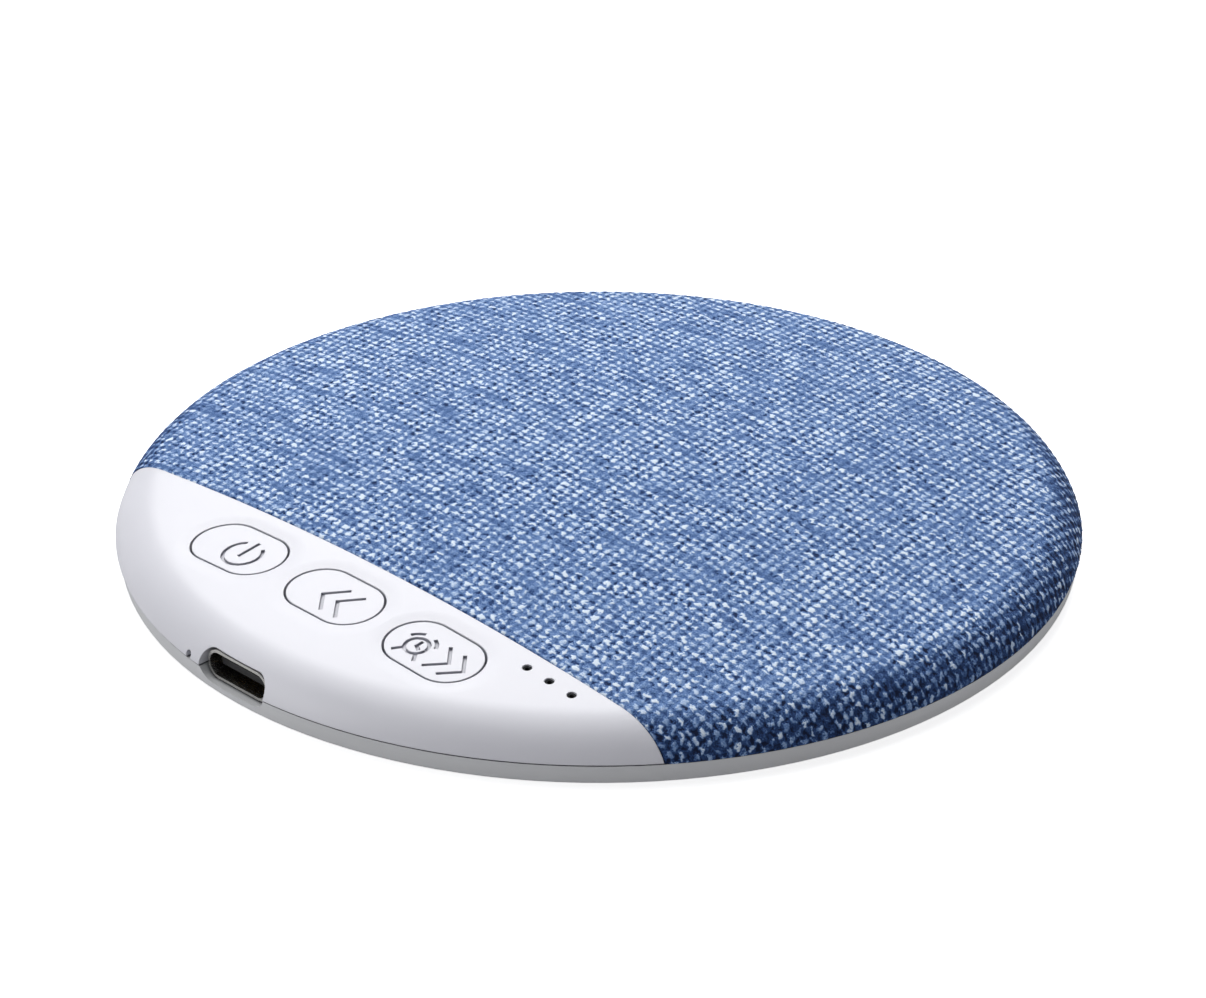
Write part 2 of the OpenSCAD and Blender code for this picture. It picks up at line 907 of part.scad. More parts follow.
right_routes = [
    [[7.4, 3.9, 3.6], [6.3, 2.8, 3.6], [5.2, 1.8, 3.5], [3.8, 0.2, 3.4], [2, -1.8, 3.3],
        [0, -3.4, 3.2], [-3, -4.3, 3.1], [-8, -4.4, 3.1], [-14, -4.4, 3.1], [-20, -4.4, 3.1],
        [-24, -4.6, 3.1], [-26.2, -5.8, 3], [-26.9, -8.5, 2.9], [-26.6, -12, 2.9], [-26.4, -16, 2.9],
        [-26.2, -20, 2.9], [-25.9, -23.5, 3.1], [-25.2, -26.3, 3.4], [-24.2, -28.2, 3.6],
        [-23.5, -29.6, 3.7]],
    [[8.4, 2.9, 3.6], [7.3, 1.8, 3.6], [6.3, 0.7, 3.6], [5, -0.9, 3.7], [3, -3, 3.8], [0.6, -4.7, 3.9],
        [-3, -5.3, 3.9], [-8, -5.4, 4], [-14, -5.4, 4], [-20, -5.3, 4], [-23.4, -5.1, 4],
        [-25.2, -5.3, 4], [-26.2, -6.8, 4], [-26.3, -9, 4], [-26, -12, 4], [-25.8, -16, 4],
        [-25.7, -20, 4], [-25.75, -23.5, 4.1], [-25.35, -25.5, 4.1], [-24, -27, 4],
        [-22.6, -28.4, 3.8], [-21.5, -29.6, 3.7]]];

// A round curve through a route's points, with a few rings between neighbours.
between = 3;
function curve_at(a, b, c, d, t) = 0.5 * (2 * b + (c - a) * t + (2 * a - 5 * b + 4 * c - d) * t * t
    + (3 * b - a - 3 * c + d) * t * t * t);
function rounded(p) = concat(
    [for (i = [0:len(p) - 2]) for (k = [0:between - 1])
        curve_at(p[max(i - 1, 0)], p[i], p[i + 1], p[min(i + 2, len(p) - 1)], k / between)],
    [p[len(p) - 1]]);

function to_board(p) = [for (i = [0:len(p) - 1])
    p[i] + max(0, 1 - (len(p) - 1 - i) / moved_points) * [0, 0, board_top - route_board_top]];
function from_speaker(p, side) =
    let (shift = (speaker_d / 2 - route_speaker_r) * [side + cos(wire_way), sin(wire_way), 0])
    [for (i = [0:len(p) - 1]) p[i] + max(0, 1 - i / moved_points) * shift];

module battery_red_lead() {
    color("firebrick")
        wire(rounded(to_board(red_route)), lead_d);
}

module battery_black_lead() {
    color("black")
        wire(rounded(to_board(black_route)), lead_d);
}

module speaker_wires(side, routes) {
    color("white")
    for (route = routes)
        wire(rounded(to_board(from_speaker(route, side))), thin_d);
}

module solder_joints() {
    ends = concat([red_route, black_route], left_routes, right_routes);
    color("silver")
    for (route = ends)
        let (tip = route[len(route) - 1])
        translate([tip[0], tip[1] - 0.3, board_top])
            cylinder(r1 = 0.75, r2 = 0.35, h = 0.9);
}

// ---- Speakers ----

module basket(side) {
    outer = speaker_d / 2;
    color("black")
    at_speaker(side, speaker_z)
    difference() {
        union() {
            translate([0, 0, basket_web_z])
                ring(outer, yoke_r + 0.02, basket_web_t);
            translate([0, 0, basket_web_z])
                ring(outer, outer - basket_wall, basket_h - basket_web_z);
            translate([0, 0, ledge_z - ledge_t])
                ring(outer - eps, cone_r + surround_w - ledge_w, ledge_t);
        }
        for (k = [0:5])
            rotate(60 * k + 30)
                translate([(yoke_r + outer - basket_wall) / 2, 0, basket_web_z - 1])
                    cylinder(r = 1.4, h = 3);
        rotate(wire_way)
            translate([outer - 3.2, -wire_gap / 2 + 0.3, basket_web_z + 0.1])
                cube([5, wire_gap - 0.6, ledge_z - ledge_t - basket_web_z - 0.1]);
    }
}

module yoke(side) {
    color("silver")
    at_speaker(side, speaker_z)
    difference() {
        cylinder(r = yoke_r, h = yoke_h);
        translate([0, 0, yoke_floor])
            cylinder(r = yoke_r - yoke_wall, h = yoke_h);
    }
}

module magnet(side) {
    color("gray")
    at_speaker(side, speaker_z + yoke_floor)
        cylinder(r = magnet_r, h = yoke_h - yoke_floor - pole_t);
}

module pole_plate(side) {
    color("silver")
    at_speaker(side, speaker_z + yoke_h - pole_t)
        cylinder(r = pole_r, h = pole_t);
}

module voice_coil(side) {
    color("peru")
    at_speaker(side, speaker_z + coil_z)
        ring(coil_r + coil_t, coil_r, coil_h);
}

cone_bend_r = coil_r + coil_t + 0.1;

module cone(side) {
    steps = 8;
    dome_top = [for (i = [0:steps])
        let (r = cone_bend_r * i / steps)
        [r, cone_z + dome_rise * (1 - pow(i / steps, 2))]];
    top = concat(dome_top, [[cone_r, cone_z + cone_rise]]);
    color("darkslategray")
    at_speaker(side, speaker_z)
        rotate_extrude()
            polygon(concat([for (p = top) [p[0], p[1] + cone_t]],
                [for (i = [len(top) - 1:-1:0]) top[i]]));
}

module surround(side) {
    steps = 10;
    line = [for (i = [0:steps])
        [cone_r + 0.05 + surround_w * i / steps, ledge_z + surround_h * sin(180 * i / steps)]];
    color("black")
    at_speaker(side, speaker_z)
        rotate_extrude()
            polygon(concat([for (p = line) [p[0], p[1] + 0.15]],
                [for (i = [steps:-1:0]) line[i]]));
}

module gasket(side) {
    color("black")
    at_speaker(side, gasket_z)
        ring(speaker_d / 2, speaker_d / 2 - gasket_w, gasket_t);
}

// ---- Feet and screws ----

module rubber_feet() {
    color("black")
    at_feet(0) {
        cylinder(d1 = foot_d - 0.4, d2 = foot_d, h = 0.2);
        translate([0, 0, 0.2])
            cylinder(d = foot_d, h = foot_proud + foot_deep - 0.2);
    }
}

module cross_slot(r, deep) {
    for (a = [0, 90])
        rotate(a)
            translate([-r, -0.22, 0])
                cube([2 * r, 0.44, deep]);
}

module case_screws() {
    color("silver")
    at_feet(seat_z - head_h)
    difference() {
        union() {
            cylinder(r = head_r, h = head_h);
            cylinder(d = screw_d, h = head_h + screw_l);
        }
        translate([0, 0, -eps])
            cross_slot(1.1, 0.5);
    }
}

module board_screws() {
    color("silver")
    for (p = board_screw_at)
        translate([p[0], p[1], board_z - board_head_h])
        difference() {
            union() {
                cylinder(r = board_head_r, h = board_head_h);
                cylinder(d = board_screw_d, h = board_head_h + board_t + board_screw_bite);
            }
            translate([0, 0, -eps])
                cross_slot(0.8, 0.3);
        }
}

base_shell();
control_cover();
grille_plate();
cloth_cover();
key_cap(power);  // power_button
key_cap(previous);  // previous_button
key_cap(next);  // next_button
plunger(power);  // power_plunger
plunger(previous);  // previous_plunger
plunger(next);  // next_plunger
switch_body(power);  // power_switch
switch_body(previous);  // previous_switch
switch_body(next);  // next_switch
snap_domes();
main_board();
usb_shell();
usb_tongue();
usb_contacts();
bluetooth_chip();
amplifier_chip();
charger_chip();
crystal();
antenna();
inductor();
small_parts();
charge_light();
light_pipe();
microphone();
microphone_boot();
battery_cell();
battery_guard_board();
battery_pad();
battery_red_lead();
battery_black_lead();
speaker_wires(-1, left_routes);  // left_speaker_wires
speaker_wires(1, right_routes);  // right_speaker_wires
solder_joints();
basket(-1);  // left_basket
yoke(-1);  // left_yoke
magnet(-1);  // left_magnet
pole_plate(-1);  // left_pole_plate
voice_coil(-1);  // left_voice_coil
cone(-1);  // left_cone
surround(-1);  // left_surround
gasket(-1);  // left_gasket
basket(1);  // right_basket
yoke(1);  // right_yoke
magnet(1);  // right_magnet
pole_plate(1);  // right_pole_plate
voice_coil(1);  // right_voice_coil
cone(1);  // right_cone
surround(1);  // right_surround
gasket(1);  // right_gasket
rubber_feet();
case_screws();
board_screws();
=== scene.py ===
# %% [markdown]
# # A flat wireless audio receiver under woven cloth
# The object is a disc, 100 mm across and under 10 mm high. A moulded base carries two thin
# speakers, a pouch cell and a circuit board. A perforated plate with blue woven cloth stretched
# over it closes most of the top, and a white moulded cover with three push buttons closes the rest.
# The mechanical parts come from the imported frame. This script adds the cloth, gives every part a
# finish, and sets up a plain studio.

# %% Load the frame
import json
import math

import bpy
import numpy as np
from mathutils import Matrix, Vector


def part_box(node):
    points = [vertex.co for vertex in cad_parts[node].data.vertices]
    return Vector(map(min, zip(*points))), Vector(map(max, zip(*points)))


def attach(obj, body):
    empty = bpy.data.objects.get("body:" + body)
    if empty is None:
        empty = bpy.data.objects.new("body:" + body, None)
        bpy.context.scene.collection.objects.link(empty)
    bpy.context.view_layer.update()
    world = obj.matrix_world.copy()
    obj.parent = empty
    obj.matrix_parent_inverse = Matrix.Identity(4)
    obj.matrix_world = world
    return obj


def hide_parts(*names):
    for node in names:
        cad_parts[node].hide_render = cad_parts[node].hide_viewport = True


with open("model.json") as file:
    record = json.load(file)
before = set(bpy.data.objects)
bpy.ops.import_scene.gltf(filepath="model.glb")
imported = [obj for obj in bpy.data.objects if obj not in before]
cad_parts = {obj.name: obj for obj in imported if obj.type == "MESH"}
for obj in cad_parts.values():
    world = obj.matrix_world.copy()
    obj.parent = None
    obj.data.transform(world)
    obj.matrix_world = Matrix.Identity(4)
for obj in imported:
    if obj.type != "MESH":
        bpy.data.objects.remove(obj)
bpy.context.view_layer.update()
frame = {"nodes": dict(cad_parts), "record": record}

# %% [markdown]
# ## The camera
# A small flat object looks right through a long lens from about half a metre. The camera stands in
# front and to the right, so that the cover with its buttons faces it at the lower left. A slight
# shift of the lens moves the disc in view without turning the camera, so its perspective stays.

# %% Camera
MM = 0.001
FOOT_H = 0.5
CAMERA_FROM_AIM = (293.6, -288.7, 223.1)
FOCAL_LENGTH = 134.3
SENSOR_WIDTH = 36.0
SHIFT = (0.0033, 0.0301)  # shares of the sensor's width
NEAREST = 0.01

camera_data = bpy.data.cameras.new("long_lens")
camera_data.lens = FOCAL_LENGTH
camera_data.sensor_width = SENSOR_WIDTH
camera_data.shift_x, camera_data.shift_y = SHIFT
camera_data.clip_start = NEAREST
camera = bpy.data.objects.new("camera", camera_data)
bpy.context.scene.collection.objects.link(camera)
aim = Vector((0, 0, FOOT_H)) * MM
camera.location = aim + Vector(CAMERA_FROM_AIM) * MM
camera.rotation_euler = (aim - camera.location).to_track_quat("-Z", "Y").to_euler()
bpy.context.scene.camera = camera
print("camera distance in mm:", round((camera.location - aim).length / MM, 1))

# %% [markdown]
# ## The skin's profile
# Cut through the middle, the top is two arcs: a very flat dome, and a small round rim that stops
# 18 degrees short of upright at the seam. The cloth follows this profile, so it is worked out once,
# by the distance walked along it from the centre of the top.

# %% Profile of the top
BODY_R = 50.0
RIM_R = 5.5
DOME_SLOPE = math.radians(7.7)
LIP_TILT = math.radians(18)
SEAM_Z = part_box("control_cover")[0].z / MM
CHORD_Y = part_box("cloth_cover")[0].y / MM
CLOTH_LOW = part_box("cloth_cover")[0].z / MM

RIM_CX = BODY_R - RIM_R * math.cos(LIP_TILT)
RIM_CZ = SEAM_Z - RIM_R * math.sin(LIP_TILT)
SHOULDER_R = RIM_CX + RIM_R * math.sin(DOME_SLOPE)
DOME_R = SHOULDER_R / math.sin(DOME_SLOPE)
DOME_CZ = RIM_CZ + RIM_R * math.cos(DOME_SLOPE) - DOME_R * math.cos(DOME_SLOPE)
DOME_S = DOME_R * DOME_SLOPE
HEM_R = 0.25
HEM_LIFT = 0.1
LOW_ANGLE = math.acos((CLOTH_LOW + HEM_LIFT - RIM_CZ) / RIM_R)
RIM_S = DOME_S + RIM_R * (LOW_ANGLE - DOME_SLOPE)


def along_profile(s):
    """Radius, height, and the outward normal's two parts, at distance s from the top's centre.

    The dome is an arc of radius DOME_R, the rim an arc of radius RIM_R, and the hem an arc of
    radius HEM_R that turns under and ends in a short flat tuck. Each arc starts at the angle from
    upright where the one before it stopped, so the slope never jumps.
    """
    s = np.asarray(s, float)
    dome = np.minimum(s, DOME_S) / DOME_R
    rim = np.clip((s - DOME_S) / RIM_R, 0, LOW_ANGLE - DOME_SLOPE)
    hem = np.clip((s - RIM_S) / HEM_R, 0, math.pi - LOW_ANGLE)
    tuck = np.maximum(s - RIM_S - HEM_R * (math.pi - LOW_ANGLE), 0)
    lean = dome + rim + hem
    r = DOME_R * np.sin(dome)
    z = DOME_CZ + DOME_R * np.cos(dome)
    r = r + RIM_R * (np.sin(dome + rim) - np.sin(dome))
    z = z + RIM_R * (np.cos(dome + rim) - np.cos(dome))
    r = r + HEM_R * (np.sin(lean) - np.sin(dome + rim)) - tuck
    z = z + HEM_R * (np.cos(lean) - np.cos(dome + rim))
    return r, z, np.sin(lean), np.cos(lean)


print("top of the dome in mm:", round(float(along_profile(0)[1]), 2))

# %% [markdown]
# ## From numbers to a mesh
# Every new piece is a set of points worked out with numpy, with quads between them. This helper
# puts the arrays into a mesh, and can give it a UV map that a pattern follows.

# %% Mesh helper


def make_piece(name, points, faces, uv=None):
    """A smooth mesh object from points in mm, corner indices of faces, and UVs for the points."""
    mesh = bpy.data.meshes.new(name)
    mesh.from_pydata((np.asarray(points) * MM).tolist(), [], np.asarray(faces).tolist())
    mesh.polygons.foreach_set("use_smooth", np.ones(len(mesh.polygons), bool))
    if uv is not None:
        layer = mesh.uv_layers.new(name="weave")
        corners = np.zeros(len(mesh.loops), np.int32)
        mesh.loops.foreach_get("vertex_index", corners)
        layer.data.foreach_set("uv", np.asarray(uv, np.float32)[corners].ravel())
    mesh.validate()
    mesh.update()
    piece = bpy.data.objects.new(name, mesh)
    bpy.context.scene.collection.objects.link(piece)
    print(name, "has", len(mesh.polygons), "faces")
    return piece


# %% [markdown]
# ## Smooth mouldings
# The plastic mouldings come as triangles that don't share corners, and their arcs are chains of
# short flats. Joined at their corners, with only the real edges left sharp, the same triangles
# carry light round the rim without bands.

# %% Smooth copies
SHARP_ANGLE = math.radians(28)
PER_MICRON = 1e6


def smooth_copy(node, body):
    """A copy of a part with its corners joined and its normals smooth except at sharp edges.

    Corners that round to the same whole microns become one, and a triangle that loses a corner in
    this way is left out. The copy rides on the part's body and takes its place.
    """
    mesh = frame["nodes"][node].data
    place = np.empty(len(mesh.vertices) * 3, np.float32)
    mesh.vertices.foreach_get("co", place)
    mesh.calc_loop_triangles()
    corners = np.empty(len(mesh.loop_triangles) * 3, np.int32)
    mesh.loop_triangles.foreach_get("vertices", corners)
    place = place.reshape(-1, 3)
    _, first, joined = np.unique(np.round(place * PER_MICRON), axis=0,
                                 return_index=True, return_inverse=True)
    faces = joined.ravel()[corners].reshape(-1, 3)
    real = (faces[:, 0] != faces[:, 1]) & (faces[:, 1] != faces[:, 2]) & (faces[:, 2] != faces[:, 0])
    piece = make_piece(node + "_smooth", place[first] / MM, faces[real])
    piece.data.set_sharp_from_angle(angle=SHARP_ANGLE)
    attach(piece, body)
    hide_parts(node)
    return piece


mouldings = {
    "base_shell": smooth_copy("base_shell", "housing"),
    "control_cover": smooth_copy("control_cover", "housing"),
    "power_button": smooth_copy("power_button", "power_key"),
    "previous_button": smooth_copy("previous_button", "previous_key"),
    "next_button": smooth_copy("next_button", "next_key"),
}

# %% [markdown]
# ## The woven cloth
# The cloth is one sheet, cut from a roll, stretched over the plate and glued under its edge. A
# simulation isn't needed: a stretched sheet takes the shape of what is under it. Flat cloth
# coordinates are carried onto the dome by keeping the distance from the centre, as when a sheet
# is smoothed down from the middle. Along the control cover it folds straight down.
#
# The weave repeats every 1.15 mm one way and 1 mm the other, slightly off square, because the
# cloth was pulled a little on the bias. The grid of the mesh is laid on that repeat, four by three
# cells to each, so that the relief of the threads comes out the same everywhere.

# %% Shape of the cloth
FOLD_R = 0.25
FOLD_DEEP = 1.6
TUCK = 0.7
EDGE_TRIES = 25
TINY = 1e-6
SHEET_END = RIM_S + HEM_R * (math.pi - LOW_ANGLE) + TUCK


def cloth_surface(u, v):
    """Point in mm of the flat cloth position (u, v), with the sheet folded at the straight edge.

    The place on the dome has the distance hypot(u, v) along the profile, in the direction of
    (u, v). Where that would lie past the straight edge, the walk stops at the edge, found by
    repeating v = edge * s / r, and what is left goes round a small quarter turn and then inwards.
    """
    edge = CHORD_Y + FOLD_R
    v_on = v.copy()
    for _ in range(EDGE_TRIES):
        s = np.hypot(u, v_on)
        r = along_profile(s)[0]
        v_edge = edge * s / np.maximum(r, TINY)
        v_on = np.maximum(v, np.where(v < 0, v_edge, v))
    s = np.hypot(u, v_on)
    r, z, out, up = along_profile(s)
    share = 1 / np.maximum(s, TINY)
    point = np.stack([u * share * r, v_on * share * r, z], -1)
    normal = np.stack([u * share * out, v_on * share * out, up], -1)
    left = v_on - v
    turn = np.minimum(left / FOLD_R, math.pi / 2)
    inward = -normal * [1, 0, 1]
    inward /= np.linalg.norm(inward, axis=-1, keepdims=True)
    point[..., 1] -= FOLD_R * np.sin(turn)
    deep = FOLD_R * (1 - np.cos(turn)) + np.maximum(left - FOLD_R * math.pi / 2, 0)
    return point + inward * deep[..., None], normal, left


middle_point = cloth_surface(np.zeros(1), np.zeros(1))[0][0]
print("middle of the cloth in mm:", [round(float(x), 2) for x in middle_point])

# %% Grid along the weave
WARP = np.array([0.86, 0.15])
WEFT = np.array([0.03, 1.0])
CELLS = (4, 3)
GRID_MARGIN = 1.25
END_X = 30.0
END_SLOPE = 0.6


def cloth_grid():
    """Flat positions on a grid laid along the weave, trimmed to the sheet's outline.

    The grid is in repeats of the weave. A cell is kept if a corner of it lies on the sheet, and
    a corner that lies outside is moved in to the outline along its line to the centre. Below the
    straight edge the grid goes past the fold, and farther down towards the sheet's two ends,
    where the flat line of that edge bends.
    """
    reach = SHEET_END * GRID_MARGIN
    repeat = np.array([WARP, WEFT])
    count = [int(reach * c) for c in CELLS]
    a, b = np.meshgrid(np.arange(-count[0], count[0]) / CELLS[0],
                       np.arange(-count[1], count[1]) / CELLS[1], indexing="ij")
    flat = np.stack([a, b], -1) @ np.linalg.inv(repeat).T
    u, v = flat[..., 0], flat[..., 1]
    s = np.hypot(u, v)
    lowest = CHORD_Y - FOLD_DEEP * 1.05 - END_SLOPE * np.maximum(np.abs(u) - END_X, 0)
    inside = (s < SHEET_END) & (v > lowest)
    kept = inside[:-1, :-1] | inside[1:, :-1] | inside[:-1, 1:] | inside[1:, 1:]
    pull = np.minimum(1, SHEET_END / np.maximum(s, TINY))
    index = np.arange(u.size).reshape(u.shape)
    quads = np.stack([index[:-1, :-1], index[1:, :-1], index[1:, 1:], index[:-1, 1:]], -1)[kept]
    used, quads = np.unique(quads, return_inverse=True)
    return (u * pull).ravel()[used], (v * pull).ravel()[used], quads.reshape(-1, 4)


u, v, quads = cloth_grid()
print("cloth grid:", len(u), "points and", len(quads), "cells")

# %% Cloth with raised threads
THREAD_RELIEF = 0.07
UV_SPAN = 140.0


def thread_relief(u, v):
    """Height of the threads: a pillow over each crossing, as a product of two raised cosines."""
    along = 0.5 - 0.5 * np.cos(2 * math.pi * (WARP[0] * u + WARP[1] * v))
    across = 0.5 - 0.5 * np.cos(2 * math.pi * (WEFT[0] * u + WEFT[1] * v))
    return THREAD_RELIEF * along * across


points, normals, folded = cloth_surface(u, v)
shown = folded < FOLD_DEEP
keep = shown[quads].all(axis=1)
used, quads = np.unique(quads[keep], return_inverse=True)
quads = quads.reshape(-1, 4)
u, v, points, normals = u[used], v[used], points[used], normals[used]
points = points + normals * thread_relief(u, v)[:, None]
cloth = make_piece("cloth", points, quads, np.stack([u, v], -1) / UV_SPAN + 0.5)
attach(cloth, "housing")
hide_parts("cloth_cover")

# %% [markdown]
# ## Helpers for finishes
# A finish is a small graph of nodes. Colours are written as on a swatch card, in sRGB, and one
# function turns them to the linear values that light is added up in. One function adds any node,
# and another fills its inputs, or the shader's, with numbers, colours and links.

# %% Material helpers


def linear(code, alpha=1.0):
    """Linear RGBA of an sRGB hex code: c / 12.92 when dark, else ((c + 0.055) / 1.055) ** 2.4."""
    srgb = np.array([int(code[i:i + 2], 16) for i in (0, 2, 4)]) / 255
    value = np.where(srgb <= 0.04045, srgb / 12.92, ((srgb + 0.055) / 1.055) ** 2.4)
    return (*value.tolist(), alpha)


def fill(tree, node, inputs):
    """Fills a node's inputs with values, sockets, or nodes, each of which gives its first output."""
    for key, value in inputs.items():
        source = value.outputs[0] if isinstance(value, bpy.types.Node) else value
        if isinstance(source, bpy.types.NodeSocket):
            tree.links.new(source, node.inputs[key])
        else:
            node.inputs[key].default_value = source


def add(tree, kind, inputs=None, stops=(), **settings):
    """Adds a shader node with its properties, its inputs and, on a ramp, (place, hex code) stops."""
    node = tree.nodes.new("ShaderNode" + kind)
    for key, value in settings.items():
        setattr(node, key, value)
    fill(tree, node, inputs or {})
    for index, (place, code) in enumerate(stops):
        if index >= len(node.color_ramp.elements):
            node.color_ramp.elements.new(place)
        node.color_ramp.elements[index].position = place
        node.color_ramp.elements[index].color = linear(code)
    return node


def new_finish(name):
    """An empty node material, its tree and its Principled shader."""
    material = bpy.data.materials.new(name)
    material.use_nodes = True
    return material, material.node_tree, material.node_tree.nodes["Principled BSDF"]


def speckle(tree, place, per_unit, detail=3.0, stretch=(1, 1, 1)):
    """Noise with per_unit features to a unit of place, drawn longer along stretched axes."""
    scale = [per_unit / s for s in stretch]
    mapped = add(tree, "Mapping", {"Vector": place, "Scale": scale})
    return add(tree, "TexNoise", {"Vector": mapped, "Scale": 1.0, "Detail": detail})


def grain(tree, size_mm, detail=3.0, stretch=(1, 1, 1)):
    """Speckle on object coordinates, which are in metres, with a grain of size_mm."""
    place = add(tree, "TexCoord").outputs["Object"]
    return speckle(tree, place, 1 / MM / size_mm, detail, stretch)


def relief(height, depth_mm, strength, under=None):
    """Inputs of a Bump node that raises a height pattern by depth_mm, over an earlier normal."""
    inputs = {"Height": height, "Distance": depth_mm * MM, "Strength": strength}
    return inputs if under is None else {**inputs, "Normal": under}


print("middle gray as linear light:", round(linear("808080")[0], 3))

# %% [markdown]
# ## Plain weave of mixed blue yarns
# The real cloth is polyester, woven from a light and a dark blue yarn, each spun from fibres of
# several shades. At each crossing the light yarn lies on top and shows as a bright dot. Along the
# yarns, between two dots, the middle blue shows, and at the corners between four dots the eye
# looks down into a gap, whose darkness is painted shade. Every dot has its own shade, and the
# yarns wander a little, as spun yarn does. Thicker stretches of the dark yarn, called slubs, run
# mostly along X.
#
# An image of cloth would repeat, and a plain noise has no threads. So the tone of each spot is
# added up from these causes, one at a time, and a colour ramp turns the sum to blues.

# %% Place on the weave
FULL_TURN = 2 * math.pi
CENTRE = (0.5, 0.5, 0.5)
BENDS_PER_MM = 1.5
WANDER = 1.5


def weave_place(tree):
    """Flat cloth position in mm, and in repeats of the weave, from the stored UVs."""
    flat = add(tree, "UVMap", uv_map="weave")
    centred = add(tree, "VectorMath", {0: flat, 1: (0.5, 0.5, 0)}, operation="SUBTRACT")
    in_mm = add(tree, "VectorMath", {0: centred, "Scale": UV_SPAN}, operation="SCALE")
    warp = add(tree, "VectorMath", {0: in_mm, 1: (*WARP, 0)}, operation="DOT_PRODUCT")
    weft = add(tree, "VectorMath", {0: in_mm, 1: (*WEFT, 0)}, operation="DOT_PRODUCT")
    repeat = add(tree, "CombineXYZ", {"X": warp.outputs["Value"], "Y": weft.outputs["Value"]})
    return in_mm, repeat


def yarns(tree, in_mm, repeat):
    """How far a spot is onto a crossing, from 0 in a gap to 1 on a dot, and the unsteady repeat.

    Onto = 0.5 - (cos x + cos y) / 4, with x and y one turn a repeat. Noise moves the repeat by up
    to half of WANDER each way, so that rows bend and dots differ in size.
    """
    noise = speckle(tree, in_mm, BENDS_PER_MM).outputs["Color"]
    noise = add(tree, "VectorMath", {0: noise, 1: CENTRE}, operation="SUBTRACT")
    noise = add(tree, "VectorMath", {0: noise, "Scale": WANDER}, operation="SCALE")
    uneven = add(tree, "VectorMath", {0: repeat, 1: noise}, operation="ADD")
    turned = add(tree, "VectorMath", {0: uneven, "Scale": FULL_TURN}, operation="SCALE")
    turned = add(tree, "SeparateXYZ", {"Vector": turned})
    cosines = [add(tree, "Math", {0: turned.outputs[axis]}, operation="COSINE") for axis in "XY"]
    both = add(tree, "Math", dict(enumerate(cosines)), operation="ADD")
    return add(tree, "Math", {0: both, 1: -0.25, 2: 0.5}, operation="MULTIPLY_ADD"), uneven


print("the weave repeats every", [round(float(1 / np.hypot(*row)), 2) for row in (WARP, WEFT)], "mm")

# %% Shades of single yarns
SLUBS_PER_MM = 0.8
SLUBS_ALONG = (((6, 1, 1), 0.5, 0.68, 1.0), ((1, 4, 1), 0.55, 0.75, 0.6))


def own_shade(tree, uneven, shift, least, span):
    """A random shade from least to least + span for each whole repeat, moved on by shift."""
    cell = add(tree, "VectorMath", {0: uneven, 1: (shift, shift, 0)}, operation="ADD")
    cell = add(tree, "VectorMath", {0: cell}, operation="FLOOR")
    shade = add(tree, "TexWhiteNoise", {"Vector": cell}, noise_dimensions="2D")
    return add(tree, "Math", {0: shade, 1: span, 2: least}, operation="MULTIPLY_ADD")


def slubs(tree, in_mm):
    """Long dark streaks, from 0 to 1: smooth steps of noise stretched along X, or fainter along Y."""
    streaks = []
    for stretch, low, high, share in SLUBS_ALONG:
        noise = speckle(tree, in_mm, SLUBS_PER_MM, 2.0, stretch)
        inputs = {"Value": noise, "From Min": low, "From Max": high, "To Max": share}
        streaks.append(add(tree, "MapRange", inputs, interpolation_type="SMOOTHSTEP"))
    return add(tree, "Math", dict(enumerate(streaks)), operation="MAXIMUM")


print("slubs are about", [round(max(row[0]) / SLUBS_PER_MM, 1) for row in SLUBS_ALONG], "mm long")

# %% Woven cloth
FIBRES_PER_MM = 6.0
MIDDLE_TONE = 0.44
DOT_TONE = 0.62
SLUB_TONE = -0.1
# Painted shade: how much darker the gap between four dots is drawn
GAP_PAINTED_SHADE = -0.42
FIBRE_TONE = 0.7
# Painted shade: how much darker the cloth is drawn where it turns down past the shoulder
RIM_PAINTED_SHADE = 0.26
DOT_EDGE = (0.46, 0.9)
GAP_EDGE = (0.02, 0.38)
RIM_SHADE_FROM = DOME_S - 0.5
RIM_SHADE_TO = RIM_S - 1.5
CLOTH_BLUES = ((0.0, "101D3C"), (0.2, "2A4678"), (0.42, "6080B4"), (0.66, "9DB7DE"), (0.95, "E2EEFC"))


